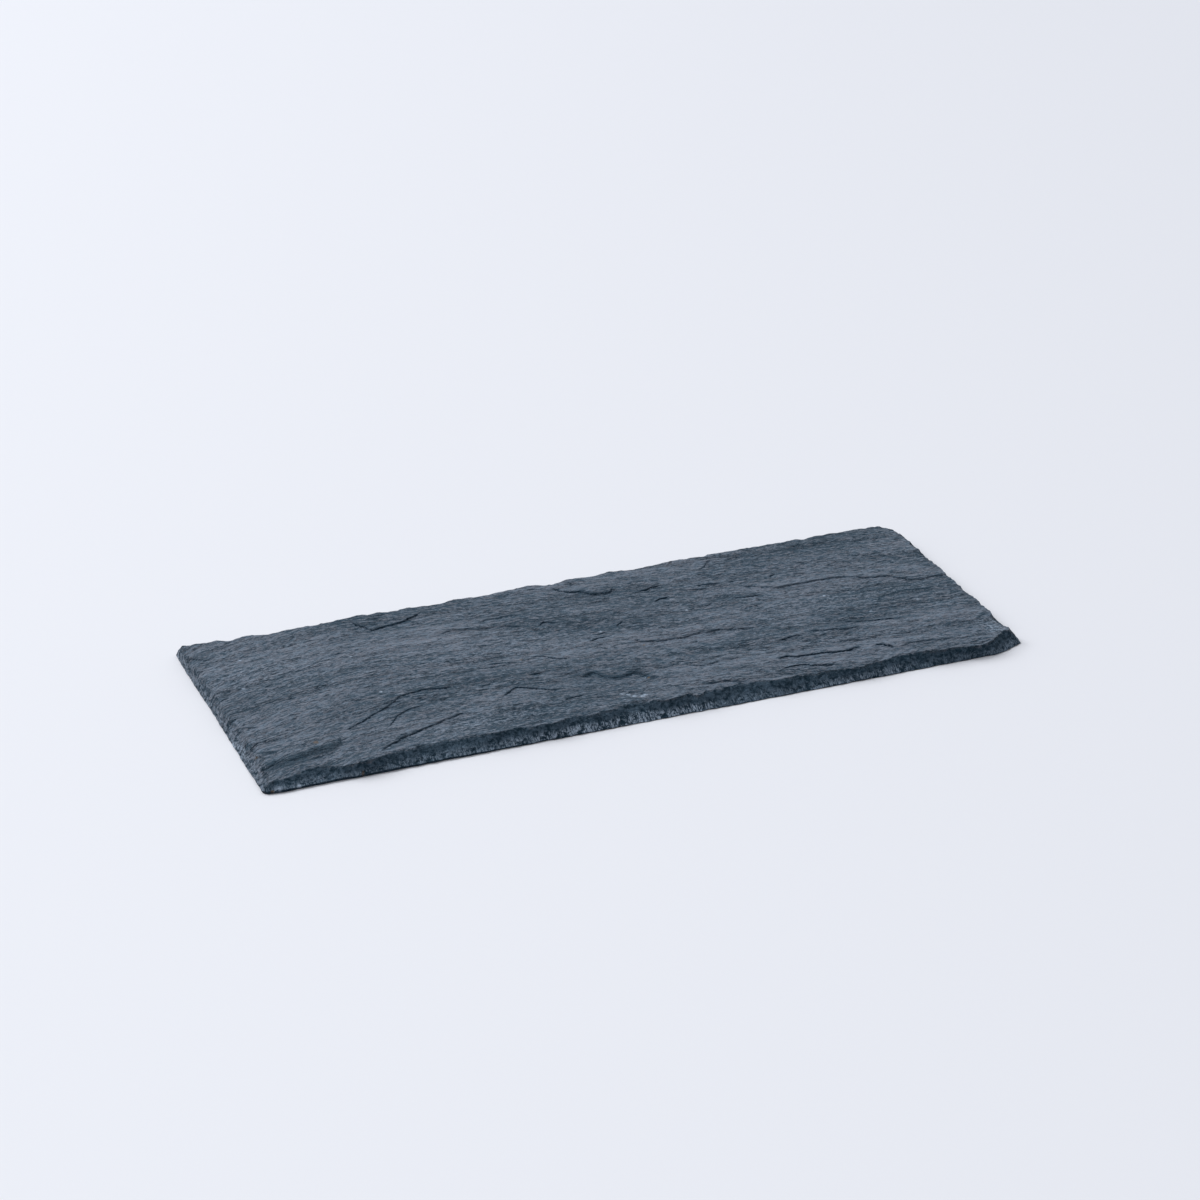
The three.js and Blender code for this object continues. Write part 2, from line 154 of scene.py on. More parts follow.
# Lesser ledges, too slight for the solid
SLIGHT_LEDGES = [
    (0.7, SOFT, 1.1, [(-146.2, -23), (-146.5, -29), (-145.8, -34.4), (-142.6, -35.7), (-137, -37.5)]),
    (0.4, SOFT, 0.9, [(-140, -47.5), (-134.4, -46.5), (-127.5, -45.9), (-122, -45)]),
    (0.35, SHARP, 0.5, [(-148.5, -14.7), (-144, -15.7), (-139, -17.2)]),
    (0.35, SHARP, 0.4, [(-150, 17.3), (-145, 14.8), (-143, 12.6), (-138.5, 14.6)]),
    (0.35, SHARP, 0.4, [(-141, 16.1), (-134, 18.5)]),
    (0.3, SHARP, 0.6, [(-150, 6.6), (-142.5, 7.8)]),
    (0.4, SHARP, 0.4, [(-148.5, 44.6), (-142.5, 39.8), (-137.5, 42.6)]),
    (0.35, SHARP, 0.2, [(-106.3, 42.8), (-103, 48.8)]),
    (0.3, SHARP, 0.8, [(-18.5, 20.3), (-15, 21.8), (-10.5, 19.3)]),
    (0.3, SHARP, 0.5, [(-28.5, 10.8), (-22.5, 9.1)]),
    (0.3, SHARP, 0.7, [(-2, 6.1), (5, 6.1)]),
    (0.3, SHARP, 1, [(9.5, 9.5), (13, 11.9)]),
    (0.35, SHARP, 0.6, [(-48, -2.6), (-41.5, -2.4), (-36, -4.5)]),
    (0.35, SHARP, 0.6, [(-56, -18.1), (-50.5, -16.3)]),
    (0.3, SHARP, 0.7, [(-36, -16.2), (-29.5, -16.3)]),
    (0.35, SHARP, 0.3, [(-28, -18.3), (-22, -20.2), (-16.5, -20.8)]),
    (0.35, SHARP, 0.7, [(-31, -38.8), (-22, -37.2)]),
    (0.4, SHARP, 0.8, [(-19, -54.2), (-9, -51.7)]),
    (0.4, SHARP, 0.8, [(-41, -56), (-32, -53.2)]),
    (0.3, SHARP, 0.5, [(-49, -46.8), (-43.5, -44.6)]),
    (0.3, SHARP, 0.7, [(49, 28.9), (61, 27.7)]),
    (0.3, SHARP, 0.7, [(47.5, 12.3), (51, 13.4)]),
    (0.3, SHARP, 0.5, [(63, 27.6), (70, 27.1)]),
    (0.3, SHARP, 0.8, [(59, 15), (64, 13.5), (67, 12.6), (72, 12.5)]),
    (0.35, SHARP, 0.5, [(57.5, 41.4), (66.5, 49.6)]),
    (0.5, WORN, 0.6, [(47, -14.2), (60, -13.2), (69, -16.4)]),
    (0.35, SHARP, 0.8, [(89, -20), (100, -22.5), (114, -26)]),
    (0.35, SHARP, 0.6, [(22, -29.8), (28.5, -33.9)]),
    (0.3, SHARP, 0.6, [(27.5, -32.4), (34.5, -32.4)]),
    (0.35, SOFT, 0.6, [(-6, -25.6), (0, -23), (11, -26.5)]),
    (0.25, SOFT, 0.6, [(29, -37.5), (44, -40.9)]),
    (0.35, SHARP, 0.8, [(79.5, 25.6), (83.5, 27.4)]),
    (0.35, SHARP, 0.7, [(89.5, 25.7), (95.5, 22.8)]),
    (0.3, SHARP, 0.2, [(106.5, 23.8), (117.5, 23.5)]),
    (0.35, SHARP, 0.4, [(124.6, 39.2), (128.3, 32.8)]),
    (0.3, SHARP, 0.3, [(119, -9.5), (132, -14)]),
    (0.35, WORN, 0.5, [(106, -25.2), (123, -26.2)]),
    (0.35, SHARP, 0.4, [(82.5, -33), (88.5, -35)]),
]
# How far from a ledge its step is felt, the least width of the painted shade on its face, how long its ends
# fade, and how far its path wavers, as (size, length)
LEDGE_REACH = 9
LEAST_SHADE_WIDTH = 1.2
LEDGE_END = 4
LEDGE_JAGS = [(0.5, 3.7), (0.25, 1.3)]
JAG_SHIFT = 90

# The grain falls to the right over most of the slab, and the other way at the left end
GRAIN_FALL = 0.1
GRAIN_RISE = 0.4
GRAIN_TURN = -100
GRAIN_BLEND = 30

# Broad waves of the cleavage, as (height, wavelength along the grain, wavelength across it)
WAVES = [(0.42, 40, 15), (0.3, 18, 6)]
LAYER_OFFSET = (17, 31)
LESSER_LAYER = 7
RIPPLE_LAYER = 13
UNDER_LAYER = 23
SCRAMBLE = (127.1, 311.7, 43758.5453)

# Lesser waves, which with the broad ones are cut into thin leaves that end in low steps, the ripples on them,
# and the room below the top of the box in which the highest peaks are rounded off
LESSER_WAVES = [(0.14, 8, 3)]
LEAF_STEP = 0.2
LEAF_SHARE = 0.5
LEAF_RISER = 0.3
RIPPLES = [(0.1, 3.2, 1.5), (0.07, 1.7, 0.8)]
PEAK_ROOM = 0.3

# Steps of the net before it is refined, and into how many each is then cut
NET_X = 100
NET_Y = 77
BEVEL_RINGS = 4
REFINE = 3
FRONT_STEPS = NET_X * REFINE
END_STEPS = NET_Y * REFINE

# Power by which the rim's unevenness fades inwards across the net
RIM_FADE = 5

# Finer working of the dressed edge: nicks, as (size, length), hackles, as (size, length, depth), how its lip,
# arris and hollow waver, how convex each bevel is (front, right, back, left), and the lowest lip
NICKS = [(0.16, 1.7), (0.1, 0.8)]
HACKLES = [(0.22, 3.4, 0.35), (0.12, 1.5, 0.2)]
LIP_WAVER = 0.18
LIP_WAVE = 2.3
ARRIS_WAVER = 3
ARRIS_STRETCH = 1.6
HOLLOW_WAVER = 0.45
HOLLOW_WAVE = 8
ROLLS = (0.2, 0.05, 0.15, 0.6)
LOWEST_LIP = 0.25

# Rows of the noise that the edge's workings read, far enough apart not to repeat each other
NICK_ROW = 40
JAG_ROW = 50
LIP_ROW = 60
HOLLOW_ROW = 70
HACKLE_ROW = 80

# How much darker than the top each bevel is broken: front, right, back, left
DRESSED_SHARES = (1, 0.2, 0.2, 0)
OTHER_CRUSH = 0.25

# Scallops broken out of the rim, as (x, y, radius, depth)
CHIPS = [
    (-150, -58, 15, 2.2), (-151, -44, 7, 1.4), (-151, -33, 8, 1.6), (-151, -24, 6, 1.2),
    (-151, -12, 7, 1.5), (-151, -1, 5, 1), (-151, 8, 6, 1.3), (-151, 19, 7, 1.5), (-151, 29, 5, 1),
    (-151, 40, 6, 1.2), (-151, 52, 7, 1.3), (-137, -59, 9, 1.4), (-122, -59, 9, 1.2), (-96, -60, 9, 1),
    (-77, -60, 10, 1), (-50, -60, 9, 0.6), (-28, -60, 9, 1), (-8, -61, 12, 1.2), (14, -60, 8, 0.6),
    (34, -61, 12, 0.8), (61, -60, 9, 1), (76, -60, 7, 0.8), (101, -60, 10, 1), (145, -60, 9, 1),
    (151, -40, 8, 1), (151, -14, 7, 0.8), (151, 20, 7, 0.8),
]

# Hollows of the underside, and how much of them is cut off flat
UNDER_WAVES = [(0.35, 34, 11), (0.2, 14, 5)]
UNDER_CONTACT = 0.12

# What the material is told: how near two levels count as one, how far inside the arris each point of the top
# face lies at least, and the mark of the foot, where the lip is 1
CLOSE = 0.001
LEAST_INSIDE = 0.3
FOOT_MARK = 3.0

# Share of each thin leaf of the material's relief that is its broken end, how much darker the slate is
# painted with each millimetre to the right, a painted falloff of the light from the left, and where a small
# mark ends and is full, as shares of its radius
LEAF_END = 0.17
PAINTED_LIGHT_FALL = -0.0001
MARK_END = 1.25
MARK_FULL = 0.6

# Strength of the pale crushing along the front lip, as (place along X, strength)
FRONT_CRUSH = [
    (-150, 0.3), (-110, 0.3), (-66, 0.35), (-38, 1.1), (14, 1.1), (24, 0.2), (60, 0.25), (72, 0.5), (95, 0.5),
    (105, 0.2), (150, 0.3),
]

# Pale bruises on the top face: the small ones are crushed slate, the broad faint ones are painted highlights.
# Each is given as (x, y, radius along, radius across, strength)
BRUISES_AND_HIGHLIGHTS = [
    (141, -42.2, 4, 7, 0.5), (144.5, -39.9, 1.5, 1.5, 0.8), (-60, -43.2, 26, 6, 0.25),
    (-125, 22.8, 26, 9, 0.2), (-149.5, -23, 2, 7, 1.2), (-40, 8.8, 30, 8, 0.15), (95, -3.2, 30, 6, 0.2),
]
# Small marks, as (x, y, radius)
WHITE_MARKS = [
    (-9.2, -42.6, 1), (-7.4, -44.2, 0.9), (-5.9, -46, 0.9), (-3.2, -47.3, 1), (-1.8, -46.4, 0.9),
    (-90, -7.7, 0.6), (-92, 21.8, 0.6), (-130.5, 35.3, 0.6), (93, 2.5, 0.7), (125, -13.7, 0.7),
    (104, -15.9, 0.6), (39.6, 11.8, 0.6), (2.5, 7.6, 0.7), (-136, 12.8, 0.8), (-143.7, -56.5, 1),
    (-145.2, -56.3, 0.8), (-136.8, -56.8, 1),
]
RUST_MARKS = [
    (-124, -36.2, 0.9), (-146, -36.2, 0.5), (-34, -3.2, 0.6), (13, -9.2, 0.6), (5, -33.2, 0.6),
    (-146.4, -56.7, 0.6), (-113.4, -57, 0.5),
]

# Width of the camera's sensor
SENSOR_WIDTH = 36


def smooth(t):
    t = np.clip(t, 0, 1)
    return t * t * (3 - 2 * t)


def mix(a, b, t):
    return a + (b - a) * t


def scatter(i, j):
    """A number from -1 to 1 that is always the same for the same pair of whole numbers."""
    s = np.sin(i * SCRAMBLE[0] + j * SCRAMBLE[1]) * SCRAMBLE[2]
    return 2 * (s - np.floor(s)) - 1


def noise(x, y):
    i = np.floor(x)
    j = np.floor(y)
    u = smooth(x - i)
    v = smooth(y - j)
    low = mix(scatter(i, j), scatter(i + 1, j), u)
    high = mix(scatter(i, j + 1), scatter(i + 1, j + 1), u)
    return mix(low, high, v)


def grain_line(x):
    """Height of a grain line at x, so that y minus this is constant along the grain."""
    turned = np.log(2 * np.cosh((x - GRAIN_TURN) / GRAIN_BLEND))
    return -GRAIN_FALL * x + GRAIN_RISE / 2 * (x - GRAIN_BLEND * turned)


def waves(layers, x, y, first=0):
    across = y - grain_line(x)
    total = 0
    for i, (size, along_length, across_length) in enumerate(layers, first):
        shift_x, shift_y = LAYER_OFFSET[0] * i, LAYER_OFFSET[1] * i
        total = total + size * noise(x / along_length + shift_x, across / across_length + shift_y)
    return total


def ledge(x, y, path):
    """Distance to a ledge's path, and its strength, which is 0 at its ends.

    The distance is positive on the path's right, where the leaf is lower.
    """
    best = np.full_like(x, np.inf)
    along = np.zeros_like(x)
    walked = 0
    for (ax, ay), (bx, by) in zip(path, path[1:]):
        dx, dy = bx - ax, by - ay
        length = math.hypot(dx, dy)
        t = np.clip(((x - ax) * dx + (y - ay) * dy) / length**2, 0, 1)
        distance = np.hypot(x - ax - t * dx, y - ay - t * dy)
        side = np.sign((x - ax) * dy - (y - ay) * dx)
        nearer = distance < np.abs(best)
        best = np.where(nearer, distance * side, best)
        along = np.where(nearer, walked + t * length, along)
        walked += length
    return best, smooth(np.minimum(along, walked - along) / min(LEDGE_END, walked / 4))


def leaves(wavy):
    """A wavy surface cut into thin leaves that end in low steps."""
    level = wavy / LEAF_STEP
    riser = smooth((level - np.floor(level) - 0.5) / LEAF_RISER + 0.5)
    return mix(wavy, LEAF_STEP * (np.floor(level) + riser), LEAF_SHARE)


def top_surface(x, y, ledge_depth):
    """Height of the top face, distance to the nearest ledge, and how dark the painted shade in its crack and
    on its face is.
    """
    height = THICKNESS + leaves(waves(WAVES, x, y) + waves(LESSER_WAVES, x, y, first=LESSER_LAYER))
    height += waves(RIPPLES, x, y, first=RIPPLE_LAYER)
    jag_x = sum(size * noise(x / length, y / length + JAG_SHIFT) for size, length in LEDGE_JAGS)
    jag_y = sum(size * noise(x / length + JAG_SHIFT, y / length) for size, length in LEDGE_JAGS)
    gap = np.full_like(x, LEDGE_REACH)
    # How dark the painted shade is in the crack at the nearest ledge's foot
    darkness = np.zeros_like(x)
    # Painted shade on the face of each ledge and just below it
    ledge_shade = np.zeros_like(x)
    for drop, riser, dark, path in LEDGES + SLIGHT_LEDGES:
        distance, fade = ledge(x + jag_x, y + jag_y, path)
        away = np.exp(-np.abs(distance) / LEDGE_REACH)
        height -= ledge_depth * drop / 2 * fade * np.tanh(2 * distance / riser) * away
        nearer = np.abs(distance) < np.abs(gap)
        gap = np.where(nearer, distance, gap)
        darkness = np.where(nearer, dark * fade * min(1, SHARP / riser), darkness)
        reach = max(riser, LEAST_SHADE_WIDTH) / 2
        ledge_shade = np.maximum(ledge_shade, dark * fade * np.exp(-((distance / reach) ** 2)))
    for chip_x, chip_y, radius, depth in CHIPS:
        spread = ((x - chip_x + jag_x) ** 2 + (y - chip_y + jag_y) ** 2) / radius**2
        height -= depth * np.clip(1 - spread, 0, None)
    room = SLAB_HIGH[2] - height
    height = np.where(room > PEAK_ROOM, height, SLAB_HIGH[2] - PEAK_ROOM * np.exp(room / PEAK_ROOM - 1))
    return height, gap, darkness, ledge_shade


def look_up(pairs, place):
    places, values = zip(*pairs)
    return np.interp(place, places, values)


class DressedEdge:
    """The four dressed sides as columns: each has an arris, a lip and a foot, and the bevel between them."""

    def __init__(self, ledge_depth):
        sides = [
            (FRONT_INSETS, FRONT_BEVEL, FRONT_STEPS, lambda place, inset: (place, inset - WIDTH / 2)),
            (RIGHT_INSETS, RIGHT_BEVEL, END_STEPS, lambda place, inset: (LENGTH / 2 - inset, place)),
            (BACK_INSETS, BACK_BEVEL, FRONT_STEPS, lambda place, inset: (place, WIDTH / 2 - inset)),
            (LEFT_INSETS, LEFT_BEVEL, END_STEPS, lambda place, inset: (inset - LENGTH / 2, place)),
        ]
        self.outline = np.array([at(*pair) for insets, _, _, at in sides for pair in insets])
        closed = np.vstack([self.outline, self.outline[:1]])
        self.walk = np.concatenate([[0], np.cumsum(np.hypot(*np.diff(closed, axis=0).T))])
        self.closed = closed

        starts = [self.walk[sum(len(s[0]) for s in sides[:i])] for i in range(4)] + [self.walk[-1]]
        distance = np.concatenate([
            mix(starts[i], starts[i + 1], np.arange(side[2]) / side[2]) for i, side in enumerate(sides)
        ])
        chord = self.lip_at(distance + CORNER_REACH) - self.lip_at(distance - CORNER_REACH)
        chord /= np.linalg.norm(chord, axis=1)[:, None]
        self.inward = np.column_stack([-chord[:, 1], chord[:, 0]])
        self.distance = distance

        bite = sum(size * noise(distance / length, i) for i, (size, length) in enumerate(BITES))
        nick = sum(
            size * np.abs(noise(distance / length, NICK_ROW + i)) for i, (size, length) in enumerate(NICKS)
        )
        self.lip = self.lip_at(distance) + self.inward * (np.abs(bite) + nick)[:, None]

        width = np.concatenate([
            look_up(bevel, lip[:, i % 2])
            for i, ((_, bevel, _, _), lip) in enumerate(zip(sides, self.split(self.lip)))
        ])
        jag = sum(
            size * noise(distance / (ARRIS_STRETCH * length), JAG_ROW + i)
            for i, (size, length) in enumerate(NICKS)
        )
        from_corner = np.abs(distance[:, None] - starts).min(axis=1)
        self.width = width + ARRIS_WAVER * jag * smooth(from_corner / CORNER_REACH)
        self.arris = self.lip + self.inward * self.width[:, None]
        self.foot = self.lip + self.inward * UNDERCUT
        self.arris_height = top_surface(*self.arris.T, ledge_depth)[0]

        front = smooth((-self.lip[:, 1] - FRONT_FROM) / (FRONT_FULL - FRONT_FROM))
        left = smooth((UNDERCUT_FROM - self.lip[:, 0]) / (UNDERCUT_FROM - UNDERCUT_FULL))
        waver = LIP_WAVER * noise(distance / LIP_WAVE, LIP_ROW)
        self.lip_height = np.maximum(mix(LEAST_LIP, MOST_LIP, front * left) + waver, LOWEST_LIP)
        ends = np.cumsum([FRONT_STEPS, END_STEPS, FRONT_STEPS])
        self.side = np.searchsorted(ends, np.arange(len(distance)), side="right")

    def split(self, column_values):
        return np.split(column_values, np.cumsum([FRONT_STEPS, END_STEPS, FRONT_STEPS]))

    def lip_at(self, distance):
        wrapped = distance % self.walk[-1]
        return np.column_stack([np.interp(wrapped, self.walk, self.closed[:, k]) for k in (0, 1)])

    def column(self, u, v):
        """Which column a point on the rim of the net belongs to."""
        k = np.where(v == 0, u * FRONT_STEPS, np.nan)
        k = np.where(np.isnan(k) & (u == 1), FRONT_STEPS + v * END_STEPS, k)
        k = np.where(np.isnan(k) & (v == 1), FRONT_STEPS + END_STEPS + (1 - u) * FRONT_STEPS, k)
        k = np.where(np.isnan(k) & (u == 0), 2 * FRONT_STEPS + END_STEPS + (1 - v) * END_STEPS, k)
        return np.rint(k).astype(int) % len(self.distance)

    def stretch(self, rim, u, v):
        """A point of the net stretched between the four sides of a rim."""
        around = len(rim)
        i, j = np.rint(u * FRONT_STEPS).astype(int), np.rint(v * END_STEPS).astype(int)
        front, right = rim[i], rim[(FRONT_STEPS + j) % around]
        back = rim[2 * FRONT_STEPS + END_STEPS - i]
        left = rim[(around - j) % around]
        corners = [rim[k] for k in (0, FRONT_STEPS, FRONT_STEPS + END_STEPS, 2 * FRONT_STEPS + END_STEPS)]
        u, v = u[:, None], v[:, None]
        straight_front, straight_back = mix(corners[0], corners[1], u), mix(corners[3], corners[2], u)
        straight_left, straight_right = mix(corners[0], corners[3], v), mix(corners[1], corners[2], v)
        stretched = mix(straight_front, straight_back, v)
        stretched += (front - straight_front) * (1 - v) ** RIM_FADE + (back - straight_back) * v**RIM_FADE
        stretched += (left - straight_left) * (1 - u) ** RIM_FADE + (right - straight_right) * u**RIM_FADE
        return stretched


def raised_copy(net, faces):
    """A copy of some faces one level up, joined to them by upright faces."""
    copied = bmesh.ops.extrude_face_region(net, geom=faces)["geom"]
    bmesh.ops.translate(net, verts=[v for v in copied if isinstance(v, bmesh.types.BMVert)], vec=(0, 0, 1))
    return [f for f in copied if isinstance(f, bmesh.types.BMFace)]


def slab_net():
    """The slab as a plain closed net: 0 to 1 in X and Y, and 1 on top, 0 at the lip and -1 underneath."""
    net = bmesh.new()
    bmesh.ops.create_grid(net, x_segments=NET_X, y_segments=NET_Y, size=0.5)
    bmesh.ops.translate(net, verts=net.verts, vec=(0.5, 0.5, -1))
    buried = raised_copy(net, net.faces[:])
    raised_copy(net, buried)
    bmesh.ops.delete(net, geom=buried, context="FACES")
    uprights = [e for e in net.edges if sorted(round(v.co.z) for v in e.verts) == [0, 1]]
    bmesh.ops.subdivide_edges(net, edges=uprights, cuts=BEVEL_RINGS - 1, use_grid_fill=True)
    worked = [e for e in net.edges if min(v.co.z for v in e.verts) > -0.5]
    bmesh.ops.subdivide_edges(net, edges=worked, cuts=REFINE - 1, use_grid_fill=True)
    bmesh.ops.recalc_face_normals(net, faces=net.faces)
    return net


def slab_points(net_points, ledge_depth):
    """Where each point of the net lies on the real slab, and what the material needs to know there."""
    steps = np.array([FRONT_STEPS, END_STEPS])
    u, v = (np.rint(net_points[:, :2] * steps) / steps).T
    w = net_points[:, 2]
    edge = DressedEdge(ledge_depth)
    rim = (u == 0) | (u == 1) | (v == 0) | (v == 1)
    points = np.zeros_like(net_points)

    top = w > 1 - CLOSE
    points[top, :2] = edge.stretch(edge.arris, u[top], v[top])
    surface = np.zeros((4, len(points)))
    surface[:, top] = top_surface(*points[top, :2].T, ledge_depth)
    points[top, 2] = surface[0, top]

    bevel = rim & (w > -CLOSE) & ~top
    k = edge.column(u[bevel], v[bevel])
    rise = w[bevel]
    across = mix(edge.lip[k], edge.arris[k], rise[:, None])
    hollow = HOLLOW + HOLLOW_WAVER * noise(edge.distance[k] / HOLLOW_WAVE, HOLLOW_ROW)
    side = edge.side[k]
    climb = mix(rise**hollow, 1 - (1 - rise) ** 2, np.take(ROLLS, side))
    height = mix(edge.lip_height[k], edge.arris_height[k], climb)
    swell = np.sin(np.pi * np.clip(rise, 0, 1))
    for i, (size, length, depth) in enumerate(HACKLES):
        height += swell * size * noise(edge.distance[k] / length, rise / depth + HACKLE_ROW + i)
    points[bevel] = np.column_stack([across, height])

    under = w < -CLOSE
    points[under, :2] = edge.stretch(edge.foot, u[under], v[under])
    hollows = waves(UNDER_WAVES, *points[under, :2].T, first=UNDER_LAYER)
    points[under, 2] = np.where(rim[under], 0, np.maximum(hollows - UNDER_CONTACT, 0))

    points = np.clip(points, SLAB_LOW, SLAB_HIGH)

    x, y = points[:, 0], points[:, 1]
    crush = np.zeros(len(points))
    crush[bevel] = np.where(side == 0, look_up(FRONT_CRUSH, x[bevel]), OTHER_CRUSH)
    bruise_and_highlight = np.zeros(len(points))
    for bx, by, along, across_radius, strength in BRUISES_AND_HIGHLIGHTS:
        spread = np.exp(-(((x - bx) / along) ** 2) - ((y - by) / across_radius) ** 2)
        bruise_and_highlight = np.maximum(bruise_and_highlight, np.where(under, 0, strength * spread))
    inside = np.minimum.reduce([
        WIDTH / 2 + y - look_up(FRONT_BEVEL, x), LENGTH / 2 - x - look_up(RIGHT_BEVEL, y),
        WIDTH / 2 - y - look_up(BACK_BEVEL, x), LENGTH / 2 + x - look_up(LEFT_BEVEL, y),
    ])
    inside = np.where(top & ~rim, np.maximum(inside, LEAST_INSIDE), 0)
    inside[bevel] = (rise - 1) * edge.width[k] * np.take(DRESSED_SHARES, side)
    attributes = {
        "inside": inside,
        "gap": surface[1],
        "darkness": surface[2],
        "ledge_shade": surface[3],
        "lip": np.where(bevel, 1 - w, np.where(under & rim, FOOT_MARK, 0.0)),
        "crush": crush,
        "bruise_and_highlight": bruise_and_highlight,
        "upper": np.where(under, 0.0, 1.0),
    }
    grain = np.column_stack([x, y - grain_line(x), points[:, 2]])
    return points, attributes, grain


class Value:
    """A number socket in a node tree: arithmetic on it adds Math nodes."""

    def __init__(self, tree, socket):
        self.tree = tree
        self.socket = socket

    def math(self, operation, *others):
        return self.tree.value("ShaderNodeMath", {"operation": operation}, dict(enumerate((self, *others))))

    def __add__(self, other):
        return self.math("ADD", other)

    def __sub__(self, other):
        return self.math("SUBTRACT", other)

    def __rsub__(self, other):
        return self.tree.value("ShaderNodeMath", {"operation": "SUBTRACT"}, {0: other, 1: self})

    def __mul__(self, other):
        return self.math("MULTIPLY", other)

    __radd__ = __add__
    __rmul__ = __mul__

    def __truediv__(self, other):
        return self.math("DIVIDE", other)

    def __pow__(self, other):
        return self.math("POWER", other)

    def high(self, start, end):
        """0 below start, 1 above end, and smooth between them."""
        sockets = {"Value": self, "From Min": start, "From Max": end}
        return self.tree.value("ShaderNodeMapRange", {"interpolation_type": "SMOOTHSTEP"}, sockets, "Result")


class Tree:
    """A node tree that is emptied and then written as expressions."""

    def __init__(self, owner):
        owner.use_nodes = True
        self.nodes = owner.node_tree.nodes
        self.links = owner.node_tree.links
        self.nodes.clear()

    def node(self, kind, settings=None, sockets=None):
        """A node of a kind, with its settings made first and then its sockets filled or linked."""
        made = self.nodes.new(kind)
        for name, setting in (settings or {}).items():
            setattr(made, name, setting)
        for name, filling in (sockets or {}).items():
            if isinstance(filling, Value):
                filling = filling.socket
            if isinstance(filling, bpy.types.NodeSocket):
                self.links.new(filling, made.inputs[name])
            else:
                made.inputs[name].default_value = filling
        return made

    def value(self, kind, settings=None, sockets=None, output=0):
        return Value(self, self.node(kind, settings, sockets).outputs[output])

    def attribute(self, name):
        return self.value("ShaderNodeAttribute", {"attribute_name": name}, output="Fac")

    def stretch(self, vector, scale):
        sockets = {0: vector, 1: scale}
        return self.node("ShaderNodeVectorMath", {"operation": "MULTIPLY"}, sockets).outputs["Vector"]

    def noise(self, vector, detail=2.0, roughness=0.5, distortion=0.0):
        sockets = {
            "Vector": vector, "Scale": 1, "Detail": detail, "Roughness": roughness, "Distortion": distortion,
        }
        return self.value("ShaderNodeTexNoise", {}, sockets, "Fac")

    def blend(self, share, first, second):
        """A colour between two others."""
        sockets = {"Factor": share, 6: first, 7: second}
        return self.node("ShaderNodeMix", {"data_type": "RGBA"}, sockets).outputs[2]

    def tinted(self, colour, share, first, second):
        """A colour multiplied by one that lies between two tints."""
        sockets = {0: colour, 1: self.blend(share, first, second)}
        return self.node("ShaderNodeVectorMath", {"operation": "MULTIPLY"}, sockets).outputs["Vector"]

    def leaves(self, level):
        """Relief of thin leaves that each end at a whole number, and 1 at the foot of each end."""
        rise = level.math("FRACT")
        return rise.high(0, LEAF_END) - rise, rise.high(LEAF_END, 0)

    def marks(self, vector, places, waver):
        """1 inside small round marks on the top face, 0 elsewhere, with wavering edges."""
        total = None
        for x, y, radius in places:
            sockets = {0: self.stretch(vector, (1, 1, 0)), 1: (x, y, 0)}
            distance = self.value("ShaderNodeVectorMath", {"operation": "DISTANCE"}, sockets, "Value")
            mark = (distance + waver).high(radius * MARK_END, radius * MARK_FULL)
            total = mark if total is None else total.math("MAXIMUM", mark)
        return total


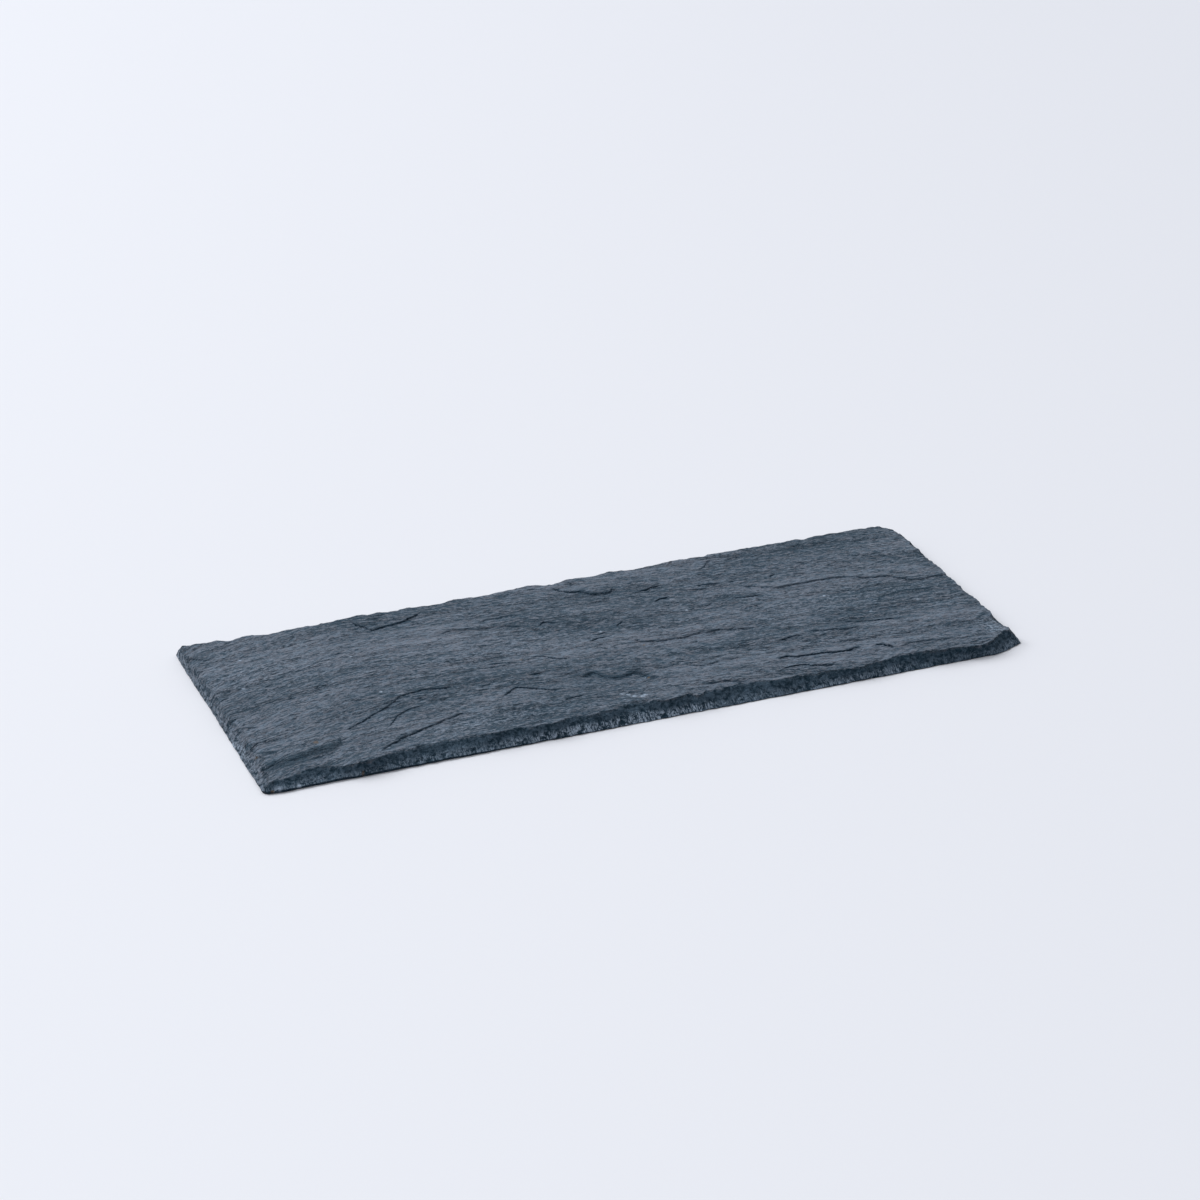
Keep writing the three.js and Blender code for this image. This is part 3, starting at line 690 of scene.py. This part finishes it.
def slate_material(settings):
    """Blue-grey slate, streaked along its grain, with bruises, specks, crushed lips and rusty marks, painted
    shade in its cracks, seams, undercut and ledge faces, painted highlights in its broad bruises, and painted
    darker to the right.
    """
    material = bpy.data.materials.new("slate")
    tree = Tree(material)
    grain = tree.node("ShaderNodeAttribute", {"attribute_name": "grain"}).outputs["Vector"]
    place = tree.node("ShaderNodeTexCoord").outputs["Object"]
    place = tree.stretch(place, (PER_METRE, PER_METRE, PER_METRE))
    inside = tree.attribute("inside")
    gap = tree.attribute("gap")
    darkness = tree.attribute("darkness")
    ledge_shade = tree.attribute("ledge_shade")
    lip = tree.attribute("lip")
    crush = tree.attribute("crush")
    bruise_and_highlight = tree.attribute("bruise_and_highlight")
    upper = tree.attribute("upper")

    parts = tree.node("ShaderNodeSeparateXYZ", {}, {"Vector": grain})
    along, across = Value(tree, parts.outputs["X"]), Value(tree, parts.outputs["Y"])
    broad = tree.noise(tree.stretch(grain, (0.015, 0.07, 0.1)), detail=3)
    leaf = tree.noise(tree.stretch(grain, (0.09, 0.35, 0.1)), detail=4, roughness=0.6, distortion=0.5)
    streak = tree.noise(tree.stretch(grain, (0.4, 1.7, 0.5)), detail=2, roughness=0.65, distortion=0.3)
    dash = tree.noise(tree.stretch(grain, (0.2, 0.95, 0.4)), detail=1, roughness=0.6, distortion=0.4)
    grit = tree.noise(tree.stretch(grain, (0.8, 1.3, 1.2)), detail=3, roughness=0.75)
    tint = tree.noise(tree.stretch(grain, (0.4, 0.8, 0.5)), detail=4, roughness=0.7)
    clot = tree.noise(tree.stretch(place, (0.45, 0.45, 0.6)), detail=4, roughness=0.65, distortion=0.5)
    flute = tree.noise(tree.stretch(place, (2.6, 0.5, 0.5)), detail=4, roughness=0.7, distortion=0.7)

    leaves, leaf_foot = tree.leaves(leaf * 2.4 + across * 0.05 + (grit - 0.5) * 0.25)
    flakes, flake_foot = tree.leaves(streak * 1.8 + across * 0.12 + (grit - 0.5) * 0.2)
    # Painted shade in the seam at the foot of each thin leaf
    seam_shade = leaf_foot * streak.high(0.56, 0.4) * 0.85 + flake_foot * leaf.high(0.42, 0.6) * 0.5
    ragged = gap + (grit - 0.5) * 1.2 + (streak - 0.5) * 1
    # Painted shade in the crack along each ledge's foot
    crack_shade = (ragged - 0.1).math("ABSOLUTE").high(0.45, 0.1) * darkness * (clot * 2 + 0.3)
    # Painted shade on the ledge faces, which turn away from the light
    shade = (ledge_shade * (clot * 2)).high(0.05, 0.9)
    dressed = (inside + (clot - 0.5) * 2.4).high(0.1, -0.5)
    worked = lip.high(0.02, 0.35)
    undercut = lip.high(1.05, 1.3)

    # The top is painted darker to the right, a painted falloff of the light from the left
    tone = streak * 0.36 + grit * 0.4 + dash * 0.24 + (broad - 0.5) * 0.3 + along * PAINTED_LIGHT_FALL
    tone = (tone + (clot - 0.5) * worked * 0.5).high(0.41, 0.59)
    stone = tree.blend(tone, (*settings.dark_colour, 1), (*settings.light_colour, 1))
    # The broken edge is also painted darker to the right, a painted falloff of the light
    broken = (clot * 0.55 + grit * 0.3 + flute * 0.15 + along * PAINTED_LIGHT_FALL).high(0.41, 0.59)
    broken = tree.blend(broken, (*settings.dark_break, 1), (*settings.light_break, 1))
    stone = tree.tinted(stone, tint.high(0.35, 0.65), (0.92, 1, 1.03, 1), (1.1, 1, 0.96, 1))
    stone = tree.blend(shade * 0.75, stone, (*settings.ledge_shade_colour, 1))
    stone = tree.blend(dressed, stone, broken)
    # Painted shade: the seams, the cracks and the undercut face under the lip are darkened
    seam_shade = (seam_shade * (1 - dressed)).math("MAXIMUM", crack_shade).math("MAXIMUM", undercut * 0.45)
    stone = tree.blend(seam_shade.math("MINIMUM", 0.95), stone, (*settings.crevice_shade_colour, 1))

    chalk = (grit * 0.6 + streak * 0.4).high(0.48, 0.6)
    fleck = tree.noise(tree.stretch(grain, (0.9, 1.3, 1)), detail=1).high(0.74, 0.8)
    crushed = flute.high(0.45, 0.58) * clot.high(0.38, 0.52) * lip.high(0.35, 0.8) * crush * 1.5
    # Pale slate on the crushed lip, the flecks and the small bruises, and painted highlights in the broad
    # bruises
    pale = chalk * bruise_and_highlight + fleck * 0.5 * (1 - dressed) + crushed.math("MINIMUM", 1.0) * (1 - undercut)
    pale = pale.math("MINIMUM", 1.0)
    stone = tree.blend(pale, stone, (*settings.pale_colour, 1))

    waver = (grit - 0.5) * 2.6
    white = tree.marks(place, WHITE_MARKS, waver) * (chalk * 0.6 + 0.4) * upper
    stone = tree.blend(white, stone, (*settings.pale_colour, 1))
    rust = tree.marks(place, RUST_MARKS, waver) * upper
    stone = tree.blend(rust * 0.5, stone, (*settings.rust_colour, 1))

    roughness = (0.5 + (1 - tone) * 0.16 + pale * 0.25 + dressed * 0.2 + seam_shade * 0.4).math("MINIMUM", 0.95)
    relief = leaves * 0.36 + flakes * 0.24 + streak * 0.4
    relief = relief * (1 - dressed) + dash * 0.5 + grit * 0.8 - ragged.high(-0.3, 0.3) * darkness * 0.25
    relief = relief + (clot * 2.5 + flute * 0.5) * dressed.math("MAXIMUM", worked)
    bump = tree.node("ShaderNodeBump", {}, {"Strength": 1, "Distance": MM, "Height": relief})
    surface = tree.node("ShaderNodeBsdfPrincipled", {}, {
        "Base Color": stone, "Roughness": roughness, "Normal": bump.outputs["Normal"],
        "Specular IOR Level": settings.sheen,
    })
    tree.node("ShaderNodeOutputMaterial", {}, {"Surface": surface.outputs["BSDF"]})
    return material


def floor_material(settings):
    material = bpy.data.materials.new("studio_floor")
    tree = Tree(material)
    place = tree.node("ShaderNodeTexCoord").outputs["Object"]
    across = Value(tree, tree.node("ShaderNodeSeparateXYZ", {}, {"Vector": place}).outputs["X"])
    # Painted falloff of the light: the floor is lighter on the left and darker on the right
    painted_falloff = tree.blend(across.high(-1, 1), (*settings.floor_lit_left, 1), (*settings.floor_shaded_right, 1))
    surface = tree.node("ShaderNodeBsdfPrincipled", {}, {
        "Base Color": painted_falloff, "Roughness": 0.9, "Specular IOR Level": 0.2,
    })
    tree.node("ShaderNodeOutputMaterial", {}, {"Surface": surface.outputs["BSDF"]})
    return material


class SlateSlabSettings(bpy.types.PropertyGroup):
    """Sizes and colours of the slab."""

    ledge_depth: bpy.props.FloatProperty(
        name="Ledge depth", description="Depth of the ledges, as a share of the measured ones",
        default=0.65, min=0, max=1.5, subtype="FACTOR")
    sharp_angle: bpy.props.FloatProperty(
        name="Sharp angle", description="Turn between two facets past which their edge is crisp",
        default=math.radians(42), subtype="ANGLE")
    sheen: bpy.props.FloatProperty(
        name="Sheen", description="How strongly the split face reflects", default=0.12, min=0, max=1)
    dark_colour: bpy.props.FloatVectorProperty(
        name="Dark slate", description="The darker streaks", default=(0.03, 0.055, 0.078), subtype="COLOR")
    light_colour: bpy.props.FloatVectorProperty(
        name="Light slate", description="The lighter streaks", default=(0.155, 0.184, 0.225), subtype="COLOR")
    # Painted shade in the cracks, the seams and under the lip
    crevice_shade_colour: bpy.props.FloatVectorProperty(
        name="Cracks", description="Cracks and seams", default=(0.003, 0.011, 0.022), subtype="COLOR")
    # Painted shade on the faces of the ledges and just below them
    ledge_shade_colour: bpy.props.FloatVectorProperty(
        name="Ledge faces", description="The short faces of the ledges",
        default=(0.022, 0.05, 0.074), subtype="COLOR")
    dark_break: bpy.props.FloatVectorProperty(
        name="Dark break", description="Broken edge, where darkest",
        default=(0.012, 0.034, 0.053), subtype="COLOR")
    light_break: bpy.props.FloatVectorProperty(
        name="Light break", description="Broken edge, where lightest",
        default=(0.085, 0.13, 0.175), subtype="COLOR")
    # Also the colour of the painted highlights in the broad bruises
    pale_colour: bpy.props.FloatVectorProperty(
        name="Bruised slate", description="Crushed and scratched slate",
        default=(0.42, 0.5, 0.6), subtype="COLOR")
    rust_colour: bpy.props.FloatVectorProperty(
        name="Rust", description="Iron stains", default=(0.2, 0.13, 0.07), subtype="COLOR")


class SlateStageSettings(bpy.types.PropertyGroup):
    """The studio: its floor, light and camera."""

    floor_size: bpy.props.FloatProperty(
        name="Floor size", description="Side of the square floor", default=12, unit="LENGTH")
    # The floor is painted lighter on the left and darker on the right, a painted falloff of the light from
    # the left
    floor_lit_left: bpy.props.FloatVectorProperty(
        name="Floor, left", description="Colour of the floor on the left", default=(0.875, 0.86, 0.865),
        subtype="COLOR")
    floor_shaded_right: bpy.props.FloatVectorProperty(
        name="Floor, right", description="Colour of the floor on the right", default=(0.74, 0.728, 0.74),
        subtype="COLOR")
    back_colour: bpy.props.FloatVectorProperty(
        name="Light from behind", description="Colour of the studio behind the slab",
        default=(0.9, 0.94, 1.0), subtype="COLOR")
    front_colour: bpy.props.FloatVectorProperty(
        name="Light from the front", description="Colour of the studio on the camera's side",
        default=(0.28, 0.3, 0.34), subtype="COLOR")
    world_strength: bpy.props.FloatProperty(
        name="Room light", description="Strength of the light from all round", default=0.86)
    key_power: bpy.props.FloatProperty(
        name="Key light", description="Power of the large window to the left and behind",
        default=936, unit="POWER")
    key_size: bpy.props.FloatProperty(
        name="Key size", description="Side of the large window", default=6.5, unit="LENGTH")
    key_place: bpy.props.FloatVectorProperty(
        name="Key place", description="Middle of the large window",
        default=(-4.73, 6.03, 6.43), subtype="TRANSLATION")
    key_colour: bpy.props.FloatVectorProperty(
        name="Key colour", description="Colour of the large window's light",
        default=(0.9, 0.94, 1.0), subtype="COLOR")
    camera_distance: bpy.props.FloatProperty(
        name="Camera distance", description="From the camera to where it aims", default=1.3219, unit="LENGTH")
    camera_elevation: bpy.props.FloatProperty(
        name="Camera elevation", description="How far the camera looks down",
        default=math.radians(26.471), subtype="ANGLE")
    camera_turn: bpy.props.FloatProperty(
        name="Camera turn", description="How far the camera stands round to the left of the front",
        default=math.radians(21.93), subtype="ANGLE")
    camera_aim: bpy.props.FloatVectorProperty(
        name="Camera aim", description="Point in the middle of the picture",
        default=(0.01561, 0.04102, 0), subtype="TRANSLATION")
    camera_lens: bpy.props.FloatProperty(
        name="Lens", description="Focal length on a 36 mm sensor", default=102.4, unit="CAMERA")


def add_object(name, data):
    thing = bpy.data.objects.new(name, data)
    bpy.context.scene.collection.objects.link(thing)
    return thing


def towards(source, target):
    return (Vector(target) - Vector(source)).to_track_quat("-Z", "Y").to_euler()


def build_slab(settings):
    net = slab_net()
    mesh = bpy.data.meshes.new("riven_slab")
    net.to_mesh(mesh)
    net.free()
    flat = np.empty(len(mesh.vertices) * 3)
    mesh.vertices.foreach_get("co", flat)
    points, attributes, grain = slab_points(flat.reshape(-1, 3), settings.ledge_depth)
    mesh.vertices.foreach_set("co", (points * MM).ravel())
    for name, values in attributes.items():
        mesh.attributes.new(name, "FLOAT", "POINT").data.foreach_set("value", values.astype(np.float32))
    grain_data = mesh.attributes.new("grain", "FLOAT_VECTOR", "POINT").data
    grain_data.foreach_set("vector", grain.astype(np.float32).ravel())
    mesh.shade_smooth()
    mesh.set_sharp_from_angle(angle=settings.sharp_angle)
    mesh.materials.append(slate_material(settings))
    mesh.update()

    slab = add_object("riven_slab", mesh)
    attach(slab, "root")
    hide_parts(NODE)


def build_floor(settings):
    plane = bmesh.new()
    bmesh.ops.create_grid(plane, x_segments=1, y_segments=1, size=settings.floor_size / 2)
    mesh = bpy.data.meshes.new("studio_floor")
    plane.to_mesh(mesh)
    plane.free()
    mesh.materials.append(floor_material(settings))
    add_object("studio_floor", mesh)


def build_light(settings):
    world = bpy.data.worlds.new("studio")
    bpy.context.scene.world = world
    tree = Tree(world)
    direction = tree.node("ShaderNodeTexCoord").outputs["Generated"]
    parts = tree.node("ShaderNodeSeparateXYZ", {}, {"Vector": direction})
    behind = Value(tree, parts.outputs["Y"]).high(-0.7, 0.6)
    colour = tree.blend(behind, (*settings.front_colour, 1), (*settings.back_colour, 1))
    background = tree.node("ShaderNodeBackground", {}, {"Color": colour, "Strength": settings.world_strength})
    tree.node("ShaderNodeOutputWorld", {}, {"Surface": background.outputs[0]})

    key = bpy.data.lights.new("key", "AREA")
    key.energy = settings.key_power
    key.size = settings.key_size
    lamp = add_object("key", key)
    lamp.location = settings.key_place
    key.color = settings.key_colour
    lamp.rotation_euler = towards(lamp.location, (0, 0, 0))


def build_camera(settings):
    lens = bpy.data.cameras.new("camera")
    lens.lens = settings.camera_lens
    lens.sensor_width = SENSOR_WIDTH
    camera = add_object("camera", lens)
    camera.rotation_euler = (math.pi / 2 - settings.camera_elevation, 0, -settings.camera_turn)
    back = Euler(camera.rotation_euler).to_matrix() @ Vector((0, 0, settings.camera_distance))
    camera.location = Vector(settings.camera_aim) + back
    bpy.context.scene.camera = camera


class SLATE_OT_slab(bpy.types.Operator):
    """Build the slab of riven slate with its dressed edges"""

    bl_idname = "slate.slab"
    bl_label = "Slate slab"

    def execute(self, context):
        build_slab(context.scene.slate_slab)
        return {"FINISHED"}


class SLATE_OT_stage(bpy.types.Operator):
    """Build the studio floor, its light and the camera"""

    bl_idname = "slate.stage"
    bl_label = "Studio stage"

    def execute(self, context):
        settings = context.scene.slate_stage
        build_floor(settings)
        build_light(settings)
        build_camera(settings)
        context.scene.view_settings.view_transform = "Standard"
        return {"FINISHED"}


class SLATE_PT_panel(bpy.types.Panel):
    """Lists the pieces and their settings"""

    bl_label = "Slate"
    bl_space_type = "VIEW_3D"
    bl_region_type = "UI"
    bl_category = "Slate"

    def draw(self, context):
        for group, operator in (
            (context.scene.slate_slab, SLATE_OT_slab.bl_idname),
            (context.scene.slate_stage, SLATE_OT_stage.bl_idname),
        ):
            box = self.layout.box()
            box.operator(operator)
            for name in group.__annotations__:
                box.prop(group, name)


CLASSES = (SlateSlabSettings, SlateStageSettings, SLATE_OT_slab, SLATE_OT_stage, SLATE_PT_panel)


def register():
    for each in CLASSES:
        bpy.utils.register_class(each)
    bpy.types.Scene.slate_slab = bpy.props.PointerProperty(type=SlateSlabSettings)
    bpy.types.Scene.slate_stage = bpy.props.PointerProperty(type=SlateStageSettings)


def unregister():
    del bpy.types.Scene.slate_stage
    del bpy.types.Scene.slate_slab
    for each in reversed(CLASSES):
        bpy.utils.unregister_class(each)


def main():
    register()
    bpy.ops.slate.stage()
    bpy.ops.slate.slab()


if __name__ == "__main__":
    main()
